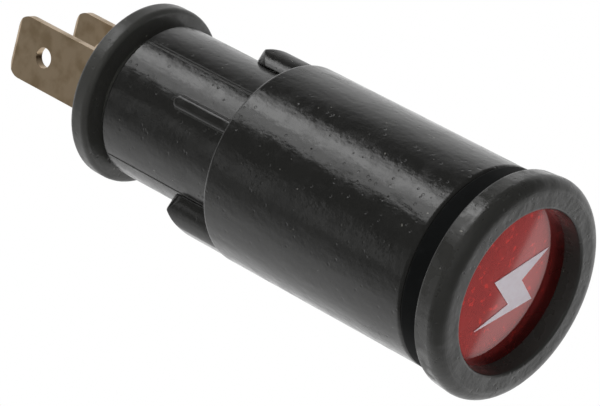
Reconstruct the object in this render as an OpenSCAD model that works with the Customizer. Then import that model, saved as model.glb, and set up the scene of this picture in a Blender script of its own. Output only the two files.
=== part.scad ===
// Panel indicator lamp: a red lens in a round bezel, a tube that passes through
// the panel, a mounting sleeve that closes up behind it, and a pull-out bulb
// holder with two blade terminals.
//
// Millimetres. The lamp's axis runs along Y: the lens faces -Y, the terminals
// point to +Y, and +Z is up on the symbol. The origin is on the axis, at the
// gasket's rear face, where the front of the panel bears.

/* [Bezel] */
// Outer radius of the bezel ring
bezel_r = 10.7; // [10.5:0.05:12]
// Outer radius of the bezel ring at its back face
bezel_back_r = 10.57; // [10.3:0.01:10.7]
// Length of the bezel ring, front rim to back face
bezel_len = 3.0; // [2.9:0.05:4]
// Outer radius of the flat front rim
rim_r = 9.35; // [8.8:0.05:9.8]
// Length over which the rim rounds off to the full radius
rim_round = 1.3; // [0.8:0.05:1.8]
// Radius of the window at the rim
window_r = 7.9; // [7.7:0.05:8.2]
// How much the window narrows down to the lens
window_draft = 0.15; // [0.05:0.01:0.3]
// Depth of the lens below the rim
recess = 1.9; // [1.5:0.05:2]
// Width of the shoulder that holds the lens
lens_lap = 1.0; // [0.7:0.05:1.2]

/* [Lens] */
// Thickness of the lens disc
lens_t = 0.6; // [0.5:0.05:0.7]
// Length of the spigot that centres the lens in the tube
spigot_len = 3.2; // [2:0.1:5]
// Wall of the spigot
spigot_wall = 1.0; // [0.6:0.1:1.6]
// Half height of the lightning bolt
bolt_tip_z = 5.0; // [3.5:0.05:5.5]
// Sideways place of the bolt's upper tip
bolt_tip_x = 1.57; // [0.8:0.01:2.4]
// Height of the bolt's outer corner
bolt_corner_z = 0.48; // [0:0.02:0.9]
// Sideways place of the bolt's outer corner
bolt_corner_x = 3.1; // [2:0.05:4]
// Height of the bolt's inner notch
bolt_notch_z = 1.22; // [0.9:0.02:1.6]
// Sideways place of the bolt's inner notch
bolt_notch_x = -0.1; // [-0.5:0.02:0.3]
// How far the two tips lie back from the two notches
bolt_lean = 0.34; // [0:0.02:0.5]
// How far the bolt is printed off the lens's centre
bolt_shift = 1.5; // [-1:0.05:2]
// Thickness of the printed bolt
print_t = 0.08; // [0.05:0.01:0.2]

/* [Gasket] */
// Outer radius of the panel gasket
gasket_r = 9.9; // [9.6:0.05:10.5]
// Thickness of the panel gasket
gasket_t = 2.25; // [1:0.1:3]

/* [Tube] */
// Outer radius of the tube
tube_r = 7.6; // [7.4:0.05:7.9]
// Wall of the tube
tube_wall = 1.1; // [0.9:0.05:1.2]
// Length of the tube behind the gasket
tube_len = 40.5; // [39:0.5:44]
// Width of the key rib
rib_w = 1.4; // [1:0.1:2]
// Height of the key rib over the tube
rib_h = 0.5; // [0.5:0.05:0.8]
// Rounding of the key rib's outer edges
rib_edge = 0.45; // [0.1:0.05:0.5]
// Start of the key rib behind the gasket
rib_start = 9; // [8:0.5:14]
// End of the key rib behind the gasket
rib_end = 33; // [30:0.1:38]
// Height of the two parting lines along the tube
seam_h = 0.05; // [0.03:0.01:0.06]
// Width of the parting lines
seam_w = 0.3; // [0.2:0.05:0.5]
// Turn of the first parting line from the top, towards the key rib
seam_turn_a = 60; // [50:1:75]
// Turn of the second parting line from the top, past the key rib
seam_turn_b = 157; // [145:1:160]

/* [Mounting sleeve] */
// Outer radius of the sleeve
sleeve_r = 9.87; // [9.5:0.01:10.6]
// Length of the sleeve without its tongues
sleeve_len = 24.7; // [22:0.1:26]
// Rounding of the sleeve's front and rear edges
sleeve_edge = 0.4; // [0.2:0.05:0.7]
// Length of each tongue behind the step
tongue_len = 7.4; // [6:0.05:9]
// Width of each tongue
tongue_w = 6.0; // [5.4:0.1:6.6]
// Outer radius of the tongues
tongue_r = 9.6; // [9.2:0.05:9.65]
// How far the pair of tongues lies below the axis: the upper one sits in, the lower one out
tongue_drop = 0.15; // [0:0.05:0.15]
// Rounding of each tongue's outer edges, at its rear and along its two sides
tongue_edge = 2.5; // [1.8:0.1:2.6]
// Radius of the tongue's two corners in its plan
tongue_corner = 2.5; // [1:0.1:2.6]
// Turn of the tongues from the top, away from the key rib
tongue_turn = 0; // [0:1:10]

/* [Bulb holder] */
// Radius of the rear flange
flange_r = 8.8; // [8:0.05:9.6]
// Thickness of the rear flange
flange_t = 2.0; // [1.2:0.05:2.5]
// Rounding of the flange's two edges
flange_edge = 0.5; // [0.2:0.05:0.9]
// Dark groove between the tube's end and the flange
neck_gap = 1.1; // [0.6:0.1:1.6]
// Length of the plug in front of the flange
plug_len = 9.6; // [9.4:0.1:12]
// Width of the key on the plug
plug_key_w = 1.6; // [1:0.1:2.4]
// Height of the key on the plug
plug_key_h = 0.4; // [0.3:0.05:0.5]
// Radius of the flange rivets' shanks
rivet_r = 0.6; // [0.4:0.05:0.8]
// Distance of the flange rivets from the axis
rivet_place = 5; // [4.2:0.1:5.2]

/* [Terminals] */
// Width of a blade terminal
blade_w = 6.2; // [6.1:0.05:6.4]
// Thickness of a blade terminal
blade_t = 0.8; // [0.5:0.05:0.9]
// Distance between the two blades' centre planes
blade_spacing = 7.7; // [7.6:0.05:8.2]
// How far the blades stand out of the flange
blade_out = 13.0; // [10:0.05:15]
// Turn of the blades' width from upright, towards the key rib
blade_turn = 28; // [0:0.5:40]
// Radius of a blade's corners
blade_corner = 1.5; // [0.5:0.1:2]
// Radius of the hole in a blade
blade_hole_r = 1.0; // [0.6:0.05:1.3]
// Hole's distance from the blade's end
blade_hole_in = 4.2; // [3:0.05:5]
// Width of the foot that the contact spring stands on
foot_w = 5; // [4:0.1:5.4]

/* [Socket and contact] */
// Inner radius of the socket shell
shell_bore_r = 4.68; // [4.66:0.01:4.75]
// Wall of the socket shell
shell_wall = 0.4; // [0.3:0.05:0.5]
// Length of the socket shell
shell_len = 12.9; // [12.5:0.1:14]
// Travel of the sprung contact
push_travel = 1.2; // [0.6:0.1:1.4]
// Turn that frees the bulb
bulb_turn = 25; // [15:1:35]
// Radius of the centre contact's face
contact_r = 2.2; // [1.8:0.1:2.4]
// Thickness of the contact's insulating disc
disc_t = 1.0; // [0.8:0.1:1.2]
// Radius of the contact's shank
shank_r = 1.2; // [0.8:0.05:1.3]
// Radius of the contact spring, to the middle of its wire
spring_r = 1.6; // [1.3:0.05:1.8]
// Radius of the spring wire
wire_r = 0.2; // [0.15:0.01:0.25]
// Turns of the contact spring
spring_turns = 5; // [4:1:6]

/* [Bulb] */
// Outer radius of the bulb's cap
cap_r = 4.6; // [4.5:0.01:4.6]
// Length of the cap's metal sleeve
cap_len = 9.5; // [8.5:0.1:10]
// Wall of the cap's metal sleeve
cap_wall = 0.3; // [0.2:0.05:0.4]
// Radius of the bayonet pins
pin_r = 0.9; // [0.7:0.05:1]
// Reach of the bayonet pins from the axis
pin_reach = 5.5; // [5.3:0.05:5.6]
// Distance from the bulb's tip to its pins
pin_back = 6; // [5.5:0.1:6.4]
// Radius of the glass envelope
glass_r = 4.35; // [4:0.05:4.4]
// Radius of the glass neck inside the cap
neck_r = 4.0; // [3.6:0.05:4.1]
// Wall of the glass
glass_wall = 0.5; // [0.3:0.05:0.7]
// Overall length of the bulb
bulb_len = 27; // [25:0.5:28]
// Half distance between the bulb's lead wires
lead_place = 1.4; // [1:0.05:1.8]
// Radius of a lead wire
lead_r = 0.2; // [0.15:0.01:0.3]

/* [Hidden] */

$fn = 96;
// Overshoot of a cutting shape past the face it opens
cut = 1;
// Radial clearance of one piece seated in another
seat_gap = 0.03;
// Radial clearance of a piece that slides in another
slide_gap = 0.05;
// Radial clearance of the sleeve over the tube
sleeve_gap = 0.1;
// Gap between flat faces that only rest against each other
face_gap = 0.02;
// Rounding of small moulded edges
small_edge = 0.25;
// Height of a tongue's rolled sides over its outer radius, where they would meet
tongue_rise = 0.05;
// Points of each rounded corner
arc_steps = 5;
// Points of each large rounding
oval_steps = 10;
// Steps of the contact spring in one turn, and sides of its wire
spring_steps = 18;
spring_sides = 8;
// Turns of the spring that lie flat at each end
spring_flat = 0.5;
// Thickness of a small rim, head or floor of sheet metal
sheet_t = 0.4;

// Front assembly, along Y
back_y = -gasket_t;
rim_y = back_y - bezel_len;
lens_y = rim_y + recess;
seat_r = window_r - window_draft + lens_lap;
bore_r = tube_r - tube_wall;
collar_y = lens_y + lens_t;

// Bulb holder, along Y
flange_y = tube_len + neck_gap;
plug_y = flange_y - plug_len;
plug_r = bore_r - slide_gap;
pocket_depth = 2.2;
foot_y = flange_y - pocket_depth;
spring_room = 3.0;
shell_floor_y = foot_y - spring_room;
shell_r = shell_bore_r + shell_wall;
shell_y = shell_floor_y - shell_len;
blade_end_y = flange_y + flange_t + blade_out;
spring_margin = 1;
spring_bore_r = spring_r + wire_r + spring_margin;
foot_lip = 0.8;
foot_reach = spring_r + wire_r + foot_lip;
rivet_deep = 3;
rivet_head_r = 2 * rivet_r;

// Contact and bulb, along Y
spare_travel = 0.38;
disc_y = shell_floor_y - sheet_t - face_gap - push_travel - disc_t - spare_travel;
contact_face_t = 0.8;
contact_y = disc_y - contact_face_t;
contact_head_r = shank_r + foot_lip;
contact_head_t = 0.48;
contact_back_y = disc_y + disc_t + contact_head_t;
bulb_tip_y = contact_y - face_gap;
bulb_tip_r = 1.8;
bulb_tip_t = 0.7;
bulb_tip_edge = 0.5;
insulator_t = 1.0;
insulator_rim = 0.3;
insulator_face_r = 2.3;
cap_back_y = bulb_tip_y - bulb_tip_t - insulator_t;
cap_y = cap_back_y - cap_len;
cap_edge = 0.6;
cap_hole_r = 3.2;
cement_depth = 0.5;
cement_y = cap_y + cement_depth;
cement_len = 2.5;
pin_y = bulb_tip_y - pin_back;
glass_top_y = bulb_tip_y - bulb_len;
glass_base_depth = 3;
glass_base_y = cap_back_y - glass_base_depth;
glass_shoulder = 1.5;
filament_drop = 6;
filament_y = glass_top_y + filament_drop;
coil_r = 0.3;
coil_wire_r = 0.07;
coil_turns = 7;
coil_steps = 12;
coil_sides = 6;
bead_drop = 6;
bead_y = filament_y + bead_drop;
bead_r = 0.7;

// Points of an arc about [cx, cy] from angle a0 to angle a1
function arc(cx, cy, r, a0, a1) =
    [for (i = [0:arc_steps]) let (a = a0 + (a1 - a0) * i / arc_steps) [cx + r * cos(a), cy + r * sin(a)]];

// Points of a quarter oval about [cx, cy], from the -Y end of its axis to its outer end
function oval(cx, cy, rx, ry) =
    [for (i = [0:oval_steps]) let (a = 90 * i / oval_steps) [cx + rx * sin(a), cy - ry * cos(a)]];

// Turns what is drawn about Z so that its axis lies along Y
module along_y() {
    rotate([-90, 0, 0]) children();
}

// A turned solid from points of [radius, y]
module lathe(points) {
    along_y() rotate_extrude() polygon(points);
}

// A straight rod along Y, from y0 to y1
module rod(r, y0, y1) {
    along_y() translate([0, 0, y0]) cylinder(r = r, h = y1 - y0);
}

// A flat rectangle about the origin with round corners
module round_square(w, h, r) {
    square([w, h - 2 * r], center = true);
    square([w - 2 * r, h], center = true);
    for (x = [-1, 1], y = [-1, 1]) translate([x * (w / 2 - r), y * (h / 2 - r)]) circle(r = r);
}

// A box centred on x and z, from y0 to y1
module bar(x, z, y0, y1) {
    translate([-x / 2, y0, -z / 2]) cube([x, y1 - y0, z]);
}

// Puts the terminals' own frame in place: X across the two blades, Z along their width
module in_blade_frame() {
    rotate([0, -blade_turn, 0]) children();
}

// ---------------------------------------------------------------- housing

module bezel_ring() {
    e = small_edge;
    color([0.16, 0.16, 0.155]) lathe(concat(
        [[window_r - window_draft, lens_y]],
        arc(window_r + e, rim_y + e, e, 180, 270),
        oval(rim_r, rim_y + rim_round, bezel_r - rim_r, rim_round),
        arc(bezel_back_r - e, back_y - e, e, 0, 90),
        [[seat_r, back_y], [seat_r, lens_y]]
    ));
}

module lens() {
    r = seat_r - seat_gap;
    spigot_r = bore_r - seat_gap;
    color([0.7, 0.05, 0.05]) lathe([
        [0, lens_y], [r, lens_y], [r, collar_y], [spigot_r, collar_y],
        [spigot_r, collar_y + spigot_len], [spigot_r - spigot_wall, collar_y + spigot_len],
        [spigot_r - spigot_wall, collar_y], [0, collar_y]
    ]);
}

module lens_symbol() {
    lean = [bolt_lean, 0];
    tip = [bolt_tip_x, bolt_tip_z];
    notch = [bolt_notch_x, bolt_notch_z];
    corner = [bolt_corner_x, bolt_corner_z];
    color([0.9, 0.88, 0.9]) translate([bolt_shift, lens_y, 0]) rotate([90, 0, 0])
        linear_extrude(print_t)
            polygon([tip - lean, notch + lean, corner, -tip - lean, -notch + lean, -corner]);
}

module panel_gasket() {
    e = small_edge;
    color([0.07, 0.08, 0.08]) lathe(concat(
        [[tube_r + seat_gap, 0], [tube_r + seat_gap, back_y]],
        arc(gasket_r - e, back_y + e, e, 270, 360),
        arc(gasket_r - e, -e, e, 0, 90)
    ));
}

// A raised line along the tube, turned from the top towards the key rib
module seam(turn) {
    end_y = tube_len - 2 * small_edge;
    rotate([0, -turn, 0]) translate([-seam_w / 2, 0, tube_r - 2 * seam_h])
        cube([seam_w, end_y, 3 * seam_h]);
}

// The key rib: a bar with rounded edges and a round rear end, raised from the tube on
// its -X side
module key_rib() {
    end_y = rib_end - rib_w / 2;
    translate([-tube_r, 0, 0]) {
        along_y() translate([0, 0, rib_start]) linear_extrude(end_y - rib_start)
            round_square(2 * rib_h, rib_w, rib_edge);
        translate([0, end_y, 0]) rotate([0, -90, 0]) rotate_extrude() intersection() {
            round_square(rib_w, 2 * rib_h, rib_edge);
            translate([0, -rib_h]) square([rib_w / 2, 2 * rib_h]);
        }
    }
}

module lamp_tube() {
    e = small_edge;
    keyway_w = plug_key_w + 2 * slide_gap;
    keyway_h = 2 * (plug_key_h + slide_gap);
    color([0.16, 0.16, 0.155]) difference() {
        union() {
            lathe(concat(
                [[0, collar_y], [seat_r - seat_gap, collar_y]],
                [[seat_r - seat_gap, back_y], [tube_r, back_y]],
                arc(tube_r - e, tube_len - e, e, 0, 90),
                [[0, tube_len]]
            ));
            key_rib();
            seam(seam_turn_a);
            seam(seam_turn_b);
        }
        rod(bore_r, collar_y - cut, tube_len + cut);
        in_blade_frame() translate([0, 0, plug_r])
            bar(keyway_w, keyway_h, plug_y - face_gap, tube_len + cut);
    }
}

// ---------------------------------------------------------------- sleeve

// A round-ended bar across the axis, as wide as a tongue, turned to the outline of the
// tongues and rolled over along its four edges: the bore leaves one tongue on each side
module tongue_bar() {
    root_y = sleeve_len - 2 * sleeve_edge;
    end_y = sleeve_len + tongue_len;
    rotate([0, tongue_turn, 0]) translate([0, 0, -tongue_drop]) intersection() {
        along_y() rotate_extrude() intersection() {
            round_square(2 * tongue_r, 2 * end_y, tongue_edge);
            translate([0, root_y]) square([tongue_r, end_y - root_y]);
        }
        translate([0, 0, -sleeve_r]) linear_extrude(2 * sleeve_r)
            round_square(tongue_w, 2 * end_y, tongue_corner);
        along_y() linear_extrude(end_y + cut)
            round_square(tongue_w, 2 * (tongue_r + tongue_rise), tongue_edge);
    }
}

module mounting_sleeve() {
    e = sleeve_edge;
    end_y = sleeve_len + tongue_len;
    key_w = rib_w + 2 * sleeve_gap;
    key_r = tube_r + rib_h + sleeve_gap;
    color([0.15, 0.15, 0.145]) difference() {
        union() {
            lathe(concat(
                [[0, face_gap]],
                arc(sleeve_r - e, e + face_gap, e, 270, 360),
                arc(sleeve_r - e, sleeve_len - e, e, 0, 90),
                [[0, sleeve_len]]
            ));
            tongue_bar();
        }
        rod(tube_r + sleeve_gap, -cut, end_y + cut);
        translate([-key_r, -cut, -key_w / 2]) cube([key_r, sleeve_len + 2 * cut, key_w]);
    }
}

// ---------------------------------------------------------------- bulb holder

module holder_plug() {
    e = small_edge;
    blade_gap = 2 * slide_gap;
    color([0.14, 0.14, 0.135]) difference() {
        union() {
            lathe(concat(
                [[0, plug_y]],
                arc(plug_r - e, plug_y + e, e, 270, 360),
                [[plug_r, flange_y], [0, flange_y]]
            ));
            intersection() {
                in_blade_frame() translate([0, 0, plug_r])
                    bar(plug_key_w, 2 * plug_key_h, plug_y, tube_len);
                rod(plug_r + plug_key_h, plug_y, tube_len);
            }
        }
        rod(shell_r + seat_gap, plug_y - cut, shell_floor_y);
        rod(spring_bore_r, plug_y - cut, foot_y + cut);
        in_blade_frame() {
            translate([blade_spacing / 2, 0, 0])
                bar(blade_t + blade_gap, blade_w + blade_gap, shell_floor_y - cut, flange_y + cut);
            foot_pocket(slide_gap, foot_y, flange_y + cut);
            rivet_places() rod(rivet_r + seat_gap, flange_y - rivet_deep - face_gap, flange_y + cut);
        }
    }
}

// The space of the spring terminal's foot and of its blade, widened by gap
module foot_pocket(gap, y0, y1) {
    x0 = -blade_spacing / 2 - blade_t / 2 - gap;
    translate([x0, y0, -foot_w / 2 - gap]) cube([foot_reach + gap - x0, y1 - y0, foot_w + 2 * gap]);
    translate([-blade_spacing / 2, 0, 0]) bar(blade_t + 2 * gap, blade_w + 2 * gap, y0, y1);
}

module rivet_places() {
    for (side = [-1, 1]) translate([0, 0, side * rivet_place]) children();
}

module rear_flange() {
    e = flange_edge;
    boss_x = blade_spacing / 2 - blade_t / 2 - slide_gap;
    boss_w = foot_w - 2 * slide_gap;
    color([0.16, 0.16, 0.155]) difference() {
        union() {
            lathe(concat(
                [[0, flange_y]],
                arc(flange_r - e, flange_y + e, e, 270, 360),
                arc(flange_r - e, flange_y + flange_t - e, e, 0, 90),
                [[0, flange_y + flange_t]]
            ));
            in_blade_frame() translate([-boss_x, foot_y + blade_t + face_gap, -boss_w / 2])
                cube([boss_x + foot_reach - slide_gap, flange_y - foot_y - blade_t, boss_w]);
        }
        in_blade_frame() {
            for (side = [-1, 1]) translate([side * blade_spacing / 2, 0, 0])
                bar(blade_t + 2 * slide_gap, blade_w + 2 * slide_gap, foot_y, flange_y + flange_t + cut);
            rivet_places() rod(rivet_r + seat_gap, flange_y - cut, flange_y + flange_t + cut);
        }
    }
}

module flange_rivets() {
    head_y = flange_y + flange_t;
    color([0.7, 0.6, 0.35]) in_blade_frame() rivet_places() union() {
        rod(rivet_r, flange_y - rivet_deep, head_y + sheet_t / 2);
        lathe([[0, head_y], [rivet_head_r, head_y], [rivet_head_r, head_y + sheet_t / 2],
               [rivet_r, head_y + sheet_t], [0, head_y + sheet_t]]);
    }
}

// One blade in its own plane: round corners, a hole and a bevelled tip, from y0 to its end
module blade(y0) {
    w = blade_w / 2;
    bevel = blade_t / 4;
    difference() {
        intersection() {
            rotate([0, -90, 0]) translate([0, 0, -blade_t / 2]) linear_extrude(blade_t) intersection() {
                round_square(blade_w, 2 * blade_end_y, blade_corner);
                translate([-w, y0]) square([2 * w, blade_end_y - y0]);
            }
            translate([0, 0, -w]) linear_extrude(2 * w) polygon([
                [-blade_t / 2, y0], [blade_t / 2, y0],
                [blade_t / 2, blade_end_y - 2 * bevel], [blade_t / 2 - bevel, blade_end_y],
                [bevel - blade_t / 2, blade_end_y], [-blade_t / 2, blade_end_y - 2 * bevel]
            ]);
        }
        translate([0, blade_end_y - blade_hole_in, 0]) rotate([0, 90, 0])
            cylinder(r = blade_hole_r, h = 2 * blade_t, center = true);
    }
}

// The blade that ends on the socket shell's floor
module shell_terminal() {
    color([0.72, 0.62, 0.42]) in_blade_frame() translate([blade_spacing / 2, 0, 0])
        blade(shell_floor_y);
}

// The blade whose foot carries the contact spring
module centre_terminal() {
    x0 = -blade_spacing / 2 - blade_t / 2;
    color([0.72, 0.62, 0.42]) in_blade_frame() union() {
        translate([-blade_spacing / 2, 0, 0]) blade(foot_y);
        translate([x0, foot_y, -foot_w / 2]) cube([foot_reach - x0, blade_t, foot_w]);
    }
}

// ---------------------------------------------------------------- socket and contact

// The L-shaped way of one bayonet pin: straight in, then round by bulb_turn
module pin_way() {
    half_w = pin_r + slide_gap;
    inside = shell_bore_r / 2;
    reach = 2 * shell_r;
    leg_y0 = pin_y - half_w;
    leg_y1 = pin_y + push_travel + half_w;
    half_a = asin(half_w / (shell_bore_r - sheet_t));
    first = [cos(-half_a), sin(-half_a)];
    last = [cos(bulb_turn + half_a), sin(bulb_turn + half_a)];
    rotate([0, bulb_turn, 0]) translate([inside, shell_y - cut, -half_w])
        cube([reach, (leg_y0 + leg_y1) / 2 - shell_y + cut, 2 * half_w]);
    along_y() translate([0, 0, leg_y0]) linear_extrude(leg_y1 - leg_y0)
        polygon([inside * first, reach * first, reach * (first + last), reach * last, inside * last]);
}

module socket_shell() {
    color([0.75, 0.68, 0.45]) difference() {
        rod(shell_r, shell_y, shell_floor_y);
        rod(shell_bore_r, shell_y - cut, shell_floor_y - sheet_t);
        rod(spring_bore_r, shell_floor_y - 2 * sheet_t, shell_floor_y + cut);
        for (side = [0, 180]) rotate([0, side, 0]) pin_way();
    }
}

module contact_insulator() {
    r = shell_bore_r - slide_gap;
    color([0.45, 0.3, 0.18]) difference() {
        rod(r, disc_y, disc_y + disc_t);
        rod(shank_r + seat_gap, disc_y - cut, disc_y + disc_t + cut);
    }
}

module centre_contact() {
    dome = contact_face_t / 4;
    color([0.8, 0.68, 0.4]) lathe([
        [0, contact_y], [contact_r - 2 * dome, contact_y], [contact_r, contact_y + dome],
        [contact_r, disc_y], [shank_r, disc_y], [shank_r, disc_y + disc_t],
        [contact_head_r, disc_y + disc_t], [contact_head_r, contact_back_y], [0, contact_back_y]
    ]);
}

// Height of the spring's wire: half a turn lies flat at each end
function spring_rise(t) =
    let (flat = spring_flat / spring_turns, u = (t - flat) / (1 - 2 * flat)) u < 0 ? 0 : u > 1 ? 1 : u;

// A wire of radius r along centre points, closed at both ends
module wire(points, r, sides) {
    n = len(points);
    tangent = function (i)
        let (a = points[max(i - 1, 0)], b = points[min(i + 1, n - 1)]) (b - a) / norm(b - a);
    rings = [for (i = [0:n - 1])
        let (t = tangent(i), out = cross(t, [0, 1, 0]), u = out / norm(out), v = cross(t, u))
        for (k = [0:sides - 1]) points[i] + r * (cos(360 * k / sides) * u + sin(360 * k / sides) * v)];
    walls = [for (i = [0:n - 2]) for (k = [0:sides - 1])
        let (m = (k + 1) % sides)
        each [[i * sides + k, (i + 1) * sides + m, i * sides + m],
              [i * sides + k, (i + 1) * sides + k, (i + 1) * sides + m]]];
    ends = [[for (k = [0:sides - 1]) k], [for (k = [0:sides - 1]) n * sides - 1 - k]];
    polyhedron(rings, concat(walls, ends));
}

module contact_spring() {
    y0 = contact_back_y + face_gap + wire_r;
    y1 = foot_y - face_gap - wire_r;
    n = spring_turns * spring_steps;
    path = [for (i = [0:n]) let (a = 360 * i / spring_steps)
        [spring_r * cos(a), y0 + (y1 - y0) * spring_rise(i / n), spring_r * sin(a)]];
    color([0.7, 0.7, 0.72]) wire(path, wire_r, spring_sides);
}

// ---------------------------------------------------------------- bulb

module bulb_cap() {
    in_r = cap_r - cap_wall;
    color([0.78, 0.66, 0.38]) lathe([
        [in_r, cap_y], [cap_r, cap_y], [cap_r, cap_back_y - cap_edge], [cap_r - cap_edge, cap_back_y],
        [cap_hole_r, cap_back_y], [cap_hole_r, cap_back_y - sheet_t],
        [in_r - sheet_t, cap_back_y - sheet_t], [in_r, cap_back_y - 2 * sheet_t]
    ]);
}

module bulb_pins() {
    color([0.8, 0.7, 0.45]) difference() {
        translate([0, pin_y, 0]) rotate([0, 90, 0]) cylinder(r = pin_r, h = 2 * pin_reach, center = true);
        rod(cap_r, pin_y - 2 * pin_r, pin_y + 2 * pin_r);
    }
}

module bulb_insulator() {
    r = cap_hole_r - seat_gap;
    color([0.08, 0.08, 0.1]) lathe([
        [0, cap_back_y - 2 * sheet_t], [r, cap_back_y - 2 * sheet_t], [r, cap_back_y],
        [r, cap_back_y + insulator_rim], [insulator_face_r, cap_back_y + insulator_t],
        [0, cap_back_y + insulator_t]
    ]);
}

module bulb_tip() {
    e = bulb_tip_edge;
    y = cap_back_y + insulator_t;
    color([0.75, 0.76, 0.78]) lathe(concat(
        [[0, y], [bulb_tip_r, y]],
        arc(bulb_tip_r - e, bulb_tip_y - e, e, 0, 90),
        [[0, bulb_tip_y]]
    ));
}

module bulb_cement() {
    color([0.75, 0.7, 0.6]) lathe([
        [neck_r, cement_y], [cap_r - cap_wall, cement_y],
        [cap_r - cap_wall, cement_y + cement_len], [neck_r, cement_y + cement_len]
    ]);
}

// Outline of the envelope at a distance inside the glass's outer face
function envelope(inset) = concat(
    [[0, glass_base_y - inset], [neck_r - inset, glass_base_y - inset], [neck_r - inset, cap_y]],
    [[glass_r - inset, cap_y - glass_shoulder]],
    arc(0, glass_top_y + glass_r, glass_r - inset, 0, -90)
);

module bulb_glass() {
    color([0.85, 0.9, 0.92, 0.4]) difference() {
        lathe(envelope(0));
        lathe(envelope(glass_wall));
    }
}

module lead_wires() {
    color([0.6, 0.6, 0.62]) for (side = [-1, 1]) translate([side * lead_place, 0, 0])
        rod(lead_r, filament_y - 2 * lead_r, glass_base_y - glass_wall);
}

module wire_bead() {
    reach = lead_place + 2 * bead_r;
    color([0.7, 0.8, 0.85]) difference() {
        translate([0, bead_y, 0]) rotate([0, 90, 0]) cylinder(r = bead_r, h = 2 * reach, center = true);
        for (side = [-1, 1]) translate([side * lead_place, 0, 0])
            rod(lead_r + face_gap, bead_y - 2 * bead_r, bead_y + 2 * bead_r);
    }
}

module filament() {
    half = lead_place - lead_r - face_gap;
    n = coil_turns * coil_steps;
    path = [for (i = [0:n]) let (a = 360 * i / coil_steps)
        [half * (2 * i / n - 1), filament_y + coil_r * cos(a), coil_r * sin(a)]];
    color([0.5, 0.5, 0.52]) wire(path, coil_wire_r, coil_sides);
}

bezel_ring();
lens();
lens_symbol();
panel_gasket();
lamp_tube();
mounting_sleeve();
holder_plug();
rear_flange();
flange_rivets();
shell_terminal();
centre_terminal();
socket_shell();
contact_insulator();
centre_contact();
contact_spring();
bulb_cap();
bulb_pins();
bulb_insulator();
bulb_tip();
bulb_cement();
bulb_glass();
lead_wires();
wire_bead();
filament();
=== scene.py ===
# %% [markdown]
# # A panel indicator lamp
#
# This lesson dresses a small round pilot lamp for a switch panel. A black bezel holds a red lens with a
# white lightning bolt, and a rubber gasket seals it to the panel. A sleeve that grips behind the panel
# slides on its ribbed barrel, and a plug-in holder with two spade terminals carries a bayonet bulb. The
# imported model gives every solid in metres, with the barrel along +Y and the lens looking along -Y, so
# each cell works from measured boxes.

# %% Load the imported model
import math

import bpy
from mathutils import Matrix, Vector


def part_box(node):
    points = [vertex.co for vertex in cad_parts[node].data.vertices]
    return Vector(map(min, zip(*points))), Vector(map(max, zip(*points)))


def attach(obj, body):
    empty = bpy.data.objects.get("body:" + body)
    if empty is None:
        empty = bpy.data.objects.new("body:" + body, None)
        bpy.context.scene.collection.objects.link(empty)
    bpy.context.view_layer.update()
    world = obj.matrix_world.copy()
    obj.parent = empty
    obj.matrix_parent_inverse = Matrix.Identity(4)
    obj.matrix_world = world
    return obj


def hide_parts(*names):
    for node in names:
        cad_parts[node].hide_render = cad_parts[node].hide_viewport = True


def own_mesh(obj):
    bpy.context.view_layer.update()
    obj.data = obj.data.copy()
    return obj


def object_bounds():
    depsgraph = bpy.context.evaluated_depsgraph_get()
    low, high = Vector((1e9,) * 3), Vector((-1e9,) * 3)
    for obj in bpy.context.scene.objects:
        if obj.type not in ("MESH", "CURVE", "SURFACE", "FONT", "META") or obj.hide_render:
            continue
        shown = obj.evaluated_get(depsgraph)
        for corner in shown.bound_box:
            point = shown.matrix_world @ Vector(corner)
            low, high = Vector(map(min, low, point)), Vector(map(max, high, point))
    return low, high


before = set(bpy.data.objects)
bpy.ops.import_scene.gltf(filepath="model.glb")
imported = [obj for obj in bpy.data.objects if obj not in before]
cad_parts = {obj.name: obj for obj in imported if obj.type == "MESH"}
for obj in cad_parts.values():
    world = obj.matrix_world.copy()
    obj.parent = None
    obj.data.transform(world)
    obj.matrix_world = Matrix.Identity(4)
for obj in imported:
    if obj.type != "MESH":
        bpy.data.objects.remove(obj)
cad_low, cad_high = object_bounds()
MM = 0.001
print("nodes:", len(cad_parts), "size in mm:", [round(s / MM, 1) for s in cad_high - cad_low])

# %% [markdown]
# ## Where things are
#
# The lamp is round about the Y axis, so most places are a distance along Y and a radius. These few
# helpers read both from the solids. Everything that follows is worked out from them, and a change in the
# solids carries through to the dressed pieces by itself.

# %% Measure the solids
def front(node):
    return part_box(node)[0].y


def back(node):
    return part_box(node)[1].y


def radius(node):
    low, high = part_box(node)
    return (high.x - low.x) / 2


for name in ("bezel_ring", "lens", "mounting_sleeve", "rear_flange"):
    y_range = [round(y / MM, 2) for y in (front(name), back(name))]
    print(name, "lies along Y, mm:", y_range, "radius:", round(radius(name) / MM, 2))

# %% [markdown]
# ## The camera
#
# A long lens far away keeps the barrel's sides nearly parallel, as in a catalogue picture. The camera
# looks from the front and one side, a little below the axis, and it is rolled, so that the barrel lies
# aslant across the picture. `to_track_quat` gives the level view, and a turn about the line of sight adds
# the roll.

# %% Place the camera
AIM = Vector((0.21, 20.52, -2.21)) * MM
SIDE, RISE, ROLL = math.radians(-53.527), math.radians(-4.428), math.radians(31.547)
STAND_OFF = 364.46 * MM
FOCAL_LENGTH, SENSOR_WIDTH = 240, 36
NEAREST_SEEN = 10 * MM

toward = Vector((math.sin(SIDE) * math.cos(RISE), -math.cos(SIDE) * math.cos(RISE), math.sin(RISE)))
level = (-toward).to_track_quat("-Z", "Y").to_matrix()
view_axes = level @ Matrix.Rotation(ROLL, 3, "Z")
camera = bpy.data.objects.new("camera", bpy.data.cameras.new("camera"))
bpy.context.scene.collection.objects.link(camera)
camera.matrix_world = Matrix.Translation(AIM + toward * STAND_OFF) @ view_axes.to_4x4()
camera.data.lens = FOCAL_LENGTH
camera.data.sensor_width = SENSOR_WIDTH
camera.data.clip_start = NEAREST_SEEN
bpy.context.scene.camera = camera
print("camera at mm:", [round(c / MM, 1) for c in camera.location])

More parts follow.
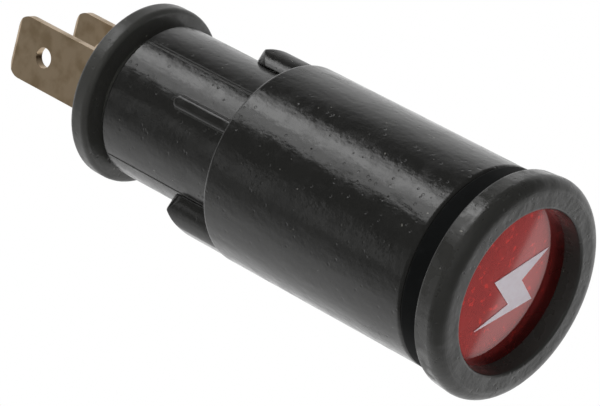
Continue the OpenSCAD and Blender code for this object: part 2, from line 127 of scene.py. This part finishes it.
# %% [markdown]
# ## Shader maths as plain expressions
#
# A node tree is easier to read as a sum. `Wire` wraps one socket, and adding or multiplying wires adds
# the Math nodes. `Finish` is one material: its `node` method makes any other node, sets its settings
# first, and then fills or links its sockets. All patterns read Object coordinates, which are metres in
# the lamp's own frame, so a pattern stays fixed on its piece. The methods take millimetres, which suit a
# small lamp better.

# %% Define wires and finishes
class Wire:
    """One output socket, on which sums and products add their Math nodes."""

    def __init__(self, finish, socket):
        self.finish = finish
        self.socket = socket

    def math(self, operation, first, second):
        return self.finish.node("Math", {"operation": operation}, {0: first, 1: second})

    def __add__(self, other):
        return self.math("ADD", self, other)

    def __sub__(self, other):
        return self.math("SUBTRACT", self, other)

    def __rsub__(self, other):
        return self.math("SUBTRACT", other, self)

    def __mul__(self, other):
        return self.math("MULTIPLY", self, other)

    __radd__ = __add__
    __rmul__ = __mul__

    def above(self, low, high):
        """0 below low, 1 above high, with a soft step between."""
        span = {"Value": self, "From Min": low, "From Max": high}
        return self.finish.node("MapRange", {"interpolation_type": "SMOOTHSTEP"}, span)


class Finish:
    """One material, or the world's tree where one is given."""
    # The Mix node has sockets for every kind of data, and these are the ones for colours.
    COLOUR_A, COLOUR_B, COLOUR_OUT = 6, 7, 2
    # The solid core of a speck, as a share of its size, and where an edge starts to show and shows in full.
    SPECK_CORE = 0.6
    EDGE_FAINT, EDGE_SHARP = 0.01, 0.12

    def __init__(self, name, tree=None):
        if tree is None:
            self.material = bpy.data.materials.new(name)
            self.material.use_nodes = True
            tree = self.material.node_tree
        self.tree = tree
        self.tree.nodes.clear()

    def node(self, kind, settings=None, inputs=None, output=0):
        """Adds a node, makes its settings, and fills or links its sockets."""
        made = self.tree.nodes.new("ShaderNode" + kind)
        for key, value in (settings or {}).items():
            setattr(made, key, value)
        for key, value in (inputs or {}).items():
            if isinstance(value, Wire):
                self.tree.links.new(value.socket, made.inputs[key])
            else:
                made.inputs[key].default_value = value
        return Wire(self, made.outputs[output]) if made.outputs else None

    def place(self, stretch=(1, 1, 1)):
        """Object coordinates in millimetres; a stretch below 1 draws a pattern out along that axis."""
        coordinates = self.node("TexCoord", output="Object")
        return self.node("Mapping", {}, {"Vector": coordinates, "Scale": [s / MM for s in stretch]})

    def along(self):
        """How far back along the lamp, in millimetres."""
        return self.node("SeparateXYZ", {}, {"Vector": self.place()}, output="Y")

    def noise(self, per_mm, detail, stretch=(1, 1, 1)):
        """Soft clouds between 0 and 1, so many to the millimetre."""
        return self.node("TexNoise", {}, {"Vector": self.place(stretch), "Scale": per_mm, "Detail": detail})

    def specks(self, per_mm, size):
        """1 inside small round specks, 0 elsewhere."""
        near = self.node("TexVoronoi", {}, {"Vector": self.place(), "Scale": per_mm, "Randomness": 1.0})
        return 1 - near.above(size * self.SPECK_CORE, size)

    def mix(self, factor, first, second):
        """The first colour where the factor is 0, the second where it is 1."""
        colours = {0: factor, self.COLOUR_A: first, self.COLOUR_B: second}
        return self.node("Mix", {"data_type": "RGBA"}, colours, output=self.COLOUR_OUT)

    def bump(self, height, depth_mm, normal=None):
        """A normal tilted by the height, on top of another normal if there is one."""
        sockets = {"Height": height, "Distance": depth_mm * MM, "Strength": 1.0}
        if normal is not None:
            sockets["Normal"] = normal
        return self.node("Bump", {}, sockets)

    def rounded(self, radius_mm):
        """A normal that turns softly round every corner."""
        return self.node("Bevel", {"samples": 6}, {"Radius": radius_mm * MM})

    def edges(self, radius_mm):
        """1 where a sharp edge is nearer than the radius, 0 on open faces."""
        unrounded = self.node("NewGeometry", output="Normal")
        facing = self.node("VectorMath", {"operation": "DOT_PRODUCT"},
                           {0: self.rounded(radius_mm), 1: unrounded}, output="Value")
        return (1 - facing).above(self.EDGE_FAINT, self.EDGE_SHARP)

    def close(self, **sockets):
        """Ends the material in a Principled shader with these sockets."""
        named = {key.replace("_", " ").title().replace("Ior", "IOR"): value
                 for key, value in sockets.items()}
        shader = self.node("BsdfPrincipled", {}, named)
        self.node("OutputMaterial", {}, {"Surface": shader})
        return self.material


def rgb(red, green, blue):
    return (red, green, blue, 1.0)


def dress(material, *names):
    """Gives each named solid this material alone."""
    for name in names:
        piece = bpy.data.objects[name]
        piece.data.materials.clear()
        piece.data.materials.append(material)
        print("dressed", name, "in", material.name)

# %% [markdown]
# ## Floor, light and background
#
# The lamp floats well above a plain pale floor, which keeps its faint shadow. The floor glows for the
# camera and the world is white to it, while a dimmer room lights the object, so the white costs no
# exposure. Seen from below, the floor lets light through, and a view from under it isn't blocked.
#
# The room is like a sweep of paper: white behind the lamp, and dark on the camera's side. `facing_room`
# measures how far a direction points towards the camera, and the sweep fades along it.

# %% Lay the floor
FLOOR_DROP = 120 * MM
FLOOR_SIZE = 6.0
FLOOR_TONE, FLOOR_GLOW = 0.85, 0.82

bpy.ops.object.select_all(action="DESELECT")
bpy.ops.mesh.primitive_plane_add(size=FLOOR_SIZE, location=(0, 0, cad_low.z - FLOOR_DROP))
floor = bpy.context.object
floor.name = "floor"
ground = Finish("pale floor")
plain = ground.node("BsdfDiffuse", {}, {"Color": rgb(FLOOR_TONE, FLOOR_TONE, FLOOR_TONE)})
lit = ground.node("Emission", {}, {"Color": rgb(1, 1, 1), "Strength": 1.0})
seen = ground.node("LightPath", output="Is Camera Ray")
mirrored = ground.node("LightPath", output="Is Glossy Ray")
through = ground.node("LightPath", output="Is Transmission Ray")
shown = ground.node("MixShader", {}, {0: (seen + mirrored + through) * FLOOR_GLOW, 1: plain, 2: lit})
clear = ground.node("BsdfTransparent")
beneath = ground.node("NewGeometry", output="Backfacing")
one_sided = ground.node("MixShader", {}, {0: beneath, 1: shown, 2: clear})
ground.node("OutputMaterial", {}, {"Surface": one_sided})
floor.data.materials.append(ground.material)
floor.visible_glossy = False
print("the floor lies", round(FLOOR_DROP / MM), "mm under the lamp")

# %% Set the world
view_up = view_axes @ Vector((0, 1, 0))
SWEEP_TILT = 0.35
SWEEP_START, SWEEP_FULL = 0.1, -0.4
ROOM_DARK = 0.13

world = bpy.data.worlds.new("studio")
bpy.context.scene.world = world
bpy.context.scene.view_settings.view_transform = "Standard"
world.use_nodes = True
sky = Finish("studio", world.node_tree)
direction = sky.node("TexCoord", output="Generated")
facing_room = sky.node("VectorMath", {"operation": "DOT_PRODUCT"},
                       {0: direction, 1: toward + view_up * SWEEP_TILT}, output="Value")
room = sky.node("MapRange", {}, {"Value": facing_room, "From Min": SWEEP_START, "From Max": SWEEP_FULL,
                                 "To Min": ROOM_DARK, "To Max": 1.0})
seen = sky.node("LightPath", output="Is Camera Ray")
through = sky.node("LightPath", output="Is Transmission Ray")
to_camera = seen + through
direct = to_camera.math("MINIMUM", to_camera, 1.0)
backdrop = sky.node("Background", {}, {"Color": rgb(1, 1, 1), "Strength": direct + (1 - direct) * room})
sky.node("OutputWorld", {}, {"Surface": backdrop})
print("the room behind the camera shines at", ROOM_DARK)

# %% [markdown]
# ## Softboxes and cards
#
# One large softbox with a brighter core hangs over the lamp and draws the long streak on the sleeve. A
# narrow strip at the left adds a fainter line. A low card on the right lifts the flat rim of the bezel,
# and a broad fill in front lights every surface without leaving a mirror image. A black card is mirrored
# by half of the glossy lens, which keeps its red deep there, and the bright room lies like a veil on the
# other half. All of them are placed from the camera's own axes: across, up and back towards the camera.

# %% Hang the softboxes
def studio_heading(across, up, behind):
    return (view_axes @ Vector((across, up, behind))).normalized()


def softbox(name, heading, distance, width, height, brightness):
    """An area lamp aimed at the middle of the piece; brightness 1 looks as bright as white paper."""
    lamp = bpy.data.objects.new(name, bpy.data.lights.new(name, "AREA"))
    bpy.context.scene.collection.objects.link(lamp)
    lamp.location = AIM + heading * distance
    lamp.rotation_euler = heading.to_track_quat("Z", "Y").to_euler()
    lamp.data.shape = "RECTANGLE"
    lamp.data.size = width
    lamp.data.size_y = height
    lamp.data.energy = brightness * math.pi * width * height
    lamp.visible_camera = False
    print(name, "shines at", brightness)
    return lamp


# The direction, then the distance, width and height in metres, then the brightness.
SOFTBOXES = {
    "overhead softbox": ((-0.5, 0.86, 0.16), 0.6, 0.40, 0.31, 1.9),
    "overhead core": ((-0.45, 0.88, 0.06), 0.58, 0.34, 0.10, 1.9),
    "left strip": ((-0.97, 0.07, 0.23), 0.6, 0.07, 0.26, 0.5),
    "low side card": ((0.84, -0.45, -0.35), 0.5, 0.30, 0.30, 0.75),
    "front fill": ((-0.25, 0.1, 1.0), 0.6, 0.5, 0.5, 4.2),
}
hung = {name: softbox(name, studio_heading(*heading), *panel)
        for name, (heading, *panel) in SOFTBOXES.items()}
hung["front fill"].visible_glossy = False

# %% Stand a black card beside the lens
# The flat lens mirrors the card's edge at its middle, so the card fills one half of it.
CARD_DISTANCE = 300 * MM
CARD_WIDTH, CARD_HEIGHT = 50 * MM, 140 * MM
CARD_TILT = math.radians(5)
VELVET = 0.01

lens_centre = Vector((0, front("lens"), 0))
sight = (lens_centre - camera.location).normalized()
bounce = sight.reflect(Vector((0, 1, 0)))
card_axes = bounce.to_track_quat("Z", "Y").to_matrix() @ Matrix.Rotation(CARD_TILT, 3, "Z")
card_place = lens_centre + bounce * CARD_DISTANCE - card_axes @ Vector((CARD_WIDTH / 2, 0, 0))
bpy.ops.object.select_all(action="DESELECT")
bpy.ops.mesh.primitive_plane_add(size=1, location=card_place, rotation=card_axes.to_euler())
card = bpy.context.object
card.name = "black card"
card.scale = (CARD_WIDTH, CARD_HEIGHT, 1)
velvet = Finish("velvet")
cloth = velvet.node("BsdfDiffuse", {}, {"Color": rgb(VELVET, VELVET, VELVET)})
velvet.node("OutputMaterial", {}, {"Surface": cloth})
card.data.materials.append(velvet.material)
card.visible_camera = card.visible_diffuse = card.visible_shadow = False
print("black card at mm:", [round(c / MM) for c in card.location])

# %% [markdown]
# ## Black moulded plastic
#
# The bezel, barrel, sleeve and holder are moulded in black nylon. Real mouldings aren't even: the surface
# carries a fine spark-eroded grain, slow waves where it shrank, patches of gloss, a few pits and scuffs,
# and clinging lint, and the corners are never quite sharp. The Bevel node rounds the corners in the shading
# alone, and where it turns the normal most it finds the edges, which are painted paler: partly wear from
# handling, and partly a painted highlight along the rounded corners. Fingers have dulled the bezel's side
# in smudges, but not its flat front rim, so that pattern starts behind the rim.
#
# One function mixes all four. What differs is the tone of the black, how rough it is, how deep the waves
# are, how strong the smudges are, and how far and how much the edges are painted paler. The sleeve is the
# glossiest, the holder is the dullest, and the barrel's rib has the palest edges, partly wear and partly a
# painted highlight.

# %% Mix the black plastics
DEEP, PALE, WORN_AND_HIGHLIT_PALER = (0.86, 0.86, 0.78), (1.2, 1.2, 1.1), 2.2
LINT_GREY = (0.34, 0.33, 0.30)
CORNER_MM = 0.14
SMUDGES_START, SMUDGES_FULL = -4.6, -3.9


def moulded_plastic(name, tone, rough, waves_mm=0.07, smudges=0.1, edge_mm=0.16, edge_wear_and_highlight=0.35):
    finish = Finish(name)
    patches = finish.noise(0.35, 4)
    waves = finish.noise(0.5, 3, stretch=(1, 0.4, 1))
    mottle = finish.noise(1.9, 5)
    grain = finish.noise(8, 2)
    scuffs = finish.noise(1.1, 5, stretch=(1, 0.12, 1)).above(0.60, 0.72)
    behind_rim = finish.along().above(SMUDGES_START, SMUDGES_FULL)
    touched = (finish.noise(0.6, 5).above(0.44, 0.64) - 0.5) * behind_rim
    pits = finish.specks(1.2, 0.2) * finish.noise(0.5, 3).above(0.42, 0.54)
    lint = finish.noise(2.1, 1).above(0.765, 0.80) * finish.noise(0.4, 2).above(0.47, 0.57) * 0.45
    # The edges are painted paler: partly real wear, partly a painted highlight on the rounded corners.
    worn_and_highlit = finish.edges(edge_mm) * edge_wear_and_highlight
    deep, pale = [c * tone for c in DEEP], [c * tone for c in PALE]
    bare_and_highlit = [c * WORN_AND_HIGHLIT_PALER for c in pale]
    colour = finish.mix(patches, rgb(*deep), rgb(*pale))
    colour = finish.mix(worn_and_highlit, colour, rgb(*bare_and_highlit))
    colour = finish.mix(lint, colour, rgb(*LINT_GREY))
    uneven = (patches - 0.5) * 0.14 + (mottle - 0.5) * 0.14 + touched * smudges
    roughness = rough + uneven + scuffs * 0.1 + lint * 0.3
    height_mm = waves * waves_mm + mottle * 0.018 + grain * 0.005 + scuffs * 0.003 - pits * 0.022
    normal = finish.bump(height_mm, 1.0, finish.rounded(CORNER_MM))
    return finish.close(base_color=colour, roughness=roughness, ior=1.5, normal=normal)


dress(moulded_plastic("bezel black", 0.022, 0.31, waves_mm=0.09, smudges=0.24), "bezel_ring")
# The barrel's edges are painted palest, as painted highlights along its rib's rounded edges as well as
# wear.
dress(moulded_plastic("barrel black", 0.011, 0.20, edge_mm=0.3, edge_wear_and_highlight=1.0), "lamp_tube")
dress(moulded_plastic("sleeve black", 0.011, 0.17, edge_wear_and_highlight=0.1), "mounting_sleeve")
dress(moulded_plastic("holder black", 0.034, 0.38), "holder_plug", "rear_flange")

# %% [markdown]
# ## Gasket rubber
#
# The gasket is soft black rubber, darker and duller than the plastic round it. Rubber mirrors little, so
# its index of refraction is set low, and a fine grain with a faint grey bloom of wax keeps it from
# looking flat.

# %% Mix the gasket rubber
RUBBER_BLACK, WAX_BLOOM = rgb(0.003, 0.0034, 0.0034), rgb(0.009, 0.01, 0.01)


def gasket_rubber():
    finish = Finish("gasket rubber")
    patches = finish.noise(0.5, 4)
    grain = finish.noise(14, 2)
    bloom = finish.noise(0.9, 5).above(0.55, 0.8)
    colour = finish.mix(bloom * 0.3, RUBBER_BLACK, WAX_BLOOM)
    normal = finish.bump(grain + patches, 0.006, finish.rounded(0.2))
    return finish.close(base_color=colour, roughness=0.62 + patches * 0.15, normal=normal, ior=1.18)


dress(gasket_rubber(), "panel_gasket")

# %% [markdown]
# ## The red lens
#
# The lens is clear red plastic. Its red comes back from within, under a hard gloss. A metallic base gives
# that depth without the cost of real transmission, and a clear coat adds the mirror-smooth face. The colour
# drifts slowly, and a few brighter spots are painted into it as glints of light.

# %% Mix the red lens
DEEP_RED, CLEAR_RED, PAINTED_GLINT_RED = rgb(0.23, 0.015, 0.014), rgb(0.33, 0.021, 0.018), rgb(0.62, 0.03, 0.02)


def lens_red():
    finish = Finish("lens red")
    depth = finish.noise(0.22, 2)
    # Brighter spots painted into the red stand in for glints of light inside the lens.
    painted_glints = finish.noise(1.4, 3).above(0.60, 0.72)
    colour = finish.mix(depth, DEEP_RED, CLEAR_RED)
    colour = finish.mix(painted_glints * 0.6, colour, PAINTED_GLINT_RED)
    normal = finish.bump(finish.noise(0.5, 2), 0.01)
    return finish.close(base_color=colour, metallic=0.9, roughness=0.22 + depth * 0.1, normal=normal,
                        coat_weight=0.7, coat_roughness=0.03, coat_ior=1.5)


dress(lens_red(), "lens")

# %% [markdown]
# ## The printed sign
#
# The lightning bolt is a thick white print on the lens, a little rubbed, and it takes on some pink from the
# red under it. A thin rim along the print's edges has a faint painted glow, given by emission.

# %% Mix the printed white
FRESH_WHITE, RUBBED_WHITE = rgb(0.84, 0.80, 0.86), rgb(0.76, 0.66, 0.72)
NO_GLOW, PAINTED_RIM_GLOW = rgb(0, 0, 0), rgb(0.30, 0.20, 0.21)


def printed_white():
    finish = Finish("printed white")
    rubbed = finish.noise(2.2, 4)
    colour = finish.mix(rubbed, FRESH_WHITE, RUBBED_WHITE)
    # A faint pinkish glow is painted along the print's edges with emission.
    painted_rim_glow = finish.mix(finish.edges(0.08), NO_GLOW, PAINTED_RIM_GLOW)
    normal = finish.bump(rubbed, 0.01, finish.rounded(0.05))
    return finish.close(base_color=colour, roughness=0.42 + rubbed * 0.15, normal=normal,
                        emission_color=painted_rim_glow, emission_strength=1.0)


dress(printed_white(), "lens_symbol")

# %% [markdown]
# ## Brass, steel, solder and tungsten
#
# The blades are cut from rolled brass that has gone brown, the contact and the rivets are turned, and the
# socket shell and the bulb's cap are drawn from sheet. One function makes every metal: a bright and a
# tarnished colour, a stain between the two, and a fine grain that runs the way the tool or the rolls
# went. Edges stay brighter and smoother, because they are rubbed clean.

# %% Mix the metals
METAL_GRAIN_MM, METAL_CORNER_MM, RUBBED_MM = 0.003, 0.05, 0.1


def metal(name, bright, dull, rough, streak=(1, 1, 1), tarnish=0.5):
    finish = Finish(name)
    drawn = finish.noise(6, 4, stretch=streak)
    stain = finish.noise(0.55, 5).above(0.4, 0.7) * tarnish
    edge = finish.edges(RUBBED_MM)
    colour = finish.mix(stain, rgb(*bright), rgb(*dull))
    colour = finish.mix(edge * 0.5, colour, rgb(*bright))
    roughness = rough + stain * 0.15 + (drawn - 0.5) * 0.12 - edge * 0.08
    normal = finish.bump(drawn, METAL_GRAIN_MM, finish.rounded(METAL_CORNER_MM))
    return finish.close(base_color=colour, metallic=1.0, roughness=roughness, normal=normal)


dress(metal("spade brass", (0.47, 0.36, 0.24), (0.27, 0.19, 0.10), 0.36, streak=(4, 0.3, 4), tarnish=0.6),
      "shell_terminal", "centre_terminal")
dress(metal("turned brass", (0.68, 0.52, 0.26), (0.36, 0.26, 0.12), 0.24, streak=(1, 6, 1)),
      "flange_rivets", "centre_contact")
dress(metal("drawn brass", (0.70, 0.57, 0.30), (0.42, 0.30, 0.14), 0.20, streak=(1, 0.2, 1)),
      "socket_shell", "bulb_cap", "bulb_pins")
dress(metal("spring steel", (0.56, 0.56, 0.58), (0.32, 0.31, 0.30), 0.28), "contact_spring", "lead_wires")
dress(metal("solder", (0.60, 0.61, 0.63), (0.36, 0.37, 0.39), 0.36), "bulb_tip")
dress(metal("tungsten", (0.30, 0.30, 0.32), (0.16, 0.16, 0.17), 0.36), "filament")

# %% [markdown]
# ## Insulators and glass
#
# These pieces hide inside the barrel until the holder is pulled out. The contact sits in a disc of brown
# fibre board, the bulb's cap is filled with black glass and stuck on with a gritty cement, and the bulb
# and the bead on its wires are clear. Alpha makes the glass see-through, because glass this thin hardly
# bends the light.

# %% Mix the insulators
FIBRE_DARK, FIBRE_LIGHT = rgb(0.11, 0.045, 0.018), rgb(0.26, 0.12, 0.05)
GLASS_BLACK, GLASS_VIOLET = rgb(0.006, 0.006, 0.009), rgb(0.02, 0.018, 0.03)
CEMENT_DARK, CEMENT_LIGHT = rgb(0.42, 0.37, 0.27), rgb(0.66, 0.61, 0.48)


def fibre_board():
    finish = Finish("fibre board")
    weave = finish.noise(5, 5, stretch=(1, 3, 1))
    colour = finish.mix(weave, FIBRE_DARK, FIBRE_LIGHT)
    normal = finish.bump(weave, 0.01, finish.rounded(0.06))
    return finish.close(base_color=colour, roughness=0.5 + weave * 0.2, normal=normal)


def black_glass():
    finish = Finish("black glass")
    flow = finish.noise(1.2, 3)
    colour = finish.mix(flow, GLASS_BLACK, GLASS_VIOLET)
    return finish.close(base_color=colour, roughness=0.08 + flow * 0.12, normal=finish.bump(flow, 0.03))


def cap_cement():
    finish = Finish("cap cement")
    grit = finish.noise(6, 5)
    colour = finish.mix(grit, CEMENT_DARK, CEMENT_LIGHT)
    return finish.close(base_color=colour, roughness=0.8 + grit * 0.1, normal=finish.bump(grit, 0.03))


dress(fibre_board(), "contact_insulator")
dress(black_glass(), "bulb_insulator")
dress(cap_cement(), "bulb_cement")

# %% Mix the glass
GLASS_SHADE = 0.9


def clear_glass(name, tint, alpha):
    finish = Finish(name)
    haze = finish.noise(0.5, 3)
    colour = finish.mix(haze, rgb(*tint), rgb(*(c * GLASS_SHADE for c in tint)))
    return finish.close(base_color=colour, roughness=0.03 + haze * 0.04, alpha=alpha + haze * 0.06,
                        ior=1.5, normal=finish.bump(haze, 0.02))


dress(clear_glass("clear glass", (0.9, 0.94, 0.95), 0.14), "bulb_glass")
dress(clear_glass("bead glass", (0.45, 0.62, 0.75), 0.6), "wire_bead")

# %% [markdown]
# ## Peened rivets
#
# Two short brass rivets hold the holder's flange to its plug. A peened head is a low dome with a flat
# land round its foot, not a cone. One rivet is modelled from a cylinder: its rear cap is inset and lifted
# three times, each step lower than the one before, which lays points on a dome, and its front cap is
# inset and drawn out to make the shank. The second rivet is a copy with its own mesh, and lies opposite
# the first. Their size and place come from the solids' own corners.

# %% Add the helpers for modelling by hand
RIVET_SIDES = 48
CAP_FACING = 0.9


def fresh(piece):
    """Selects this piece alone and opens it for editing its faces."""
    bpy.ops.object.select_all(action="DESELECT")
    piece.select_set(True)
    bpy.context.view_layer.objects.active = piece
    bpy.ops.object.mode_set(mode="EDIT")
    bpy.ops.mesh.select_mode(type="FACE")


def pick_cap(piece, way):
    """Selects the flat cap that looks along +Y where way is 1, and along -Y where it is -1."""
    bpy.ops.mesh.select_all(action="DESELECT")
    bpy.ops.object.mode_set(mode="OBJECT")
    for face in piece.data.polygons:
        face.select = face.normal.y * way > CAP_FACING
    bpy.ops.object.mode_set(mode="EDIT")


def grow(inset, lift):
    """Insets the picked cap and moves its middle along Y."""
    bpy.ops.mesh.inset(thickness=inset)
    bpy.ops.transform.translate(value=(0, lift, 0))


def disc(name, place, size, depth):
    """A short cylinder along Y from place, with its transform applied."""
    bpy.ops.object.select_all(action="DESELECT")
    bpy.ops.mesh.primitive_cylinder_add(radius=size, depth=depth, vertices=RIVET_SIDES,
                                        location=place + Vector((0, depth / 2, 0)),
                                        rotation=(math.radians(90), 0, 0))
    piece = bpy.context.object
    piece.name = name
    bpy.ops.object.transform_apply(location=True, rotation=True, scale=True)
    return piece


def done(piece, material, body, smooth=30):
    """Smooths, dresses and hangs a finished piece on its body."""
    bpy.ops.object.mode_set(mode="OBJECT")
    bpy.ops.object.shade_smooth_by_angle(angle=math.radians(smooth))
    piece.data.materials.append(material)
    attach(piece, body)
    print(piece.name, "has", len(piece.data.polygons), "faces")

# %% Measure the upper rivet
corners = [v.co for v in bpy.data.objects["flange_rivets"].data.vertices if v.co.z > 0]
left_side, right_side = min(c.x for c in corners), max(c.x for c in corners)
underside, topside = min(c.z for c in corners), max(c.z for c in corners)
head_radius = (right_side - left_side) / 2
middle = Vector(((right_side + left_side) / 2, back("rear_flange"), (topside + underside) / 2))
print("rivet head radius in mm:", round(head_radius / MM, 2), "middle:", [round(c / MM, 2) for c in middle])

# %% Model the rivets
# The steps and the shank are shares of the head's radius, with each step's rise in mm.
RIVET_LAND = 0.22 * MM
RIVET_STEPS = ((0.26, 0.12), (0.26, 0.07), (0.24, 0.03))
SHANK_INSET, SHANK_LENGTH = 0.5, 2.8 * MM

rivet = disc("rivet_upper", middle, head_radius, RIVET_LAND)
fresh(rivet)
pick_cap(rivet, 1)
for inset, rise in RIVET_STEPS:
    grow(inset * head_radius, rise * MM)
pick_cap(rivet, -1)
grow(SHANK_INSET * head_radius, 0)
bpy.ops.mesh.extrude_region_move(TRANSFORM_OT_translate={"value": (0, -SHANK_LENGTH, 0)})
bpy.ops.object.mode_set(mode="OBJECT")

twin = rivet.copy()
twin.data = rivet.data.copy()
twin.name = "rivet_lower"
bpy.context.scene.collection.objects.link(twin)
for vertex in twin.data.vertices:
    vertex.co += Vector((-2 * middle.x, 0, -2 * middle.z))
rivet_brass = bpy.data.materials["turned brass"]
for piece in (rivet, twin):
    fresh(piece)
    done(piece, rivet_brass, "holder")
    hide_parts("flange_rivets")

# %% [markdown]
# ## The contact spring
#
# The sprung contact pushes back against a small steel coil. When the contact goes in, a real coil closes
# up between it and the foot of the blade behind it, while a rigid one would stick through the contact.
# The coil is taken from the solid, its loose triangles are merged, and it rides with the holder.

# %% Hang the spring on the holder
# Points nearer each other than this are merged into one.
MERGE_WITHIN = 0.0005 * MM

coil = bpy.data.objects.new("pressed_spring", bpy.data.objects["contact_spring"].data.copy())
bpy.context.scene.collection.objects.link(coil)
coil.data.materials.clear()
fresh(coil)
bpy.ops.mesh.select_all(action="SELECT")
bpy.ops.mesh.remove_doubles(threshold=MERGE_WITHIN)
done(coil, bpy.data.materials["spring steel"], "holder", smooth=50)
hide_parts("contact_spring")
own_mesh(coil)
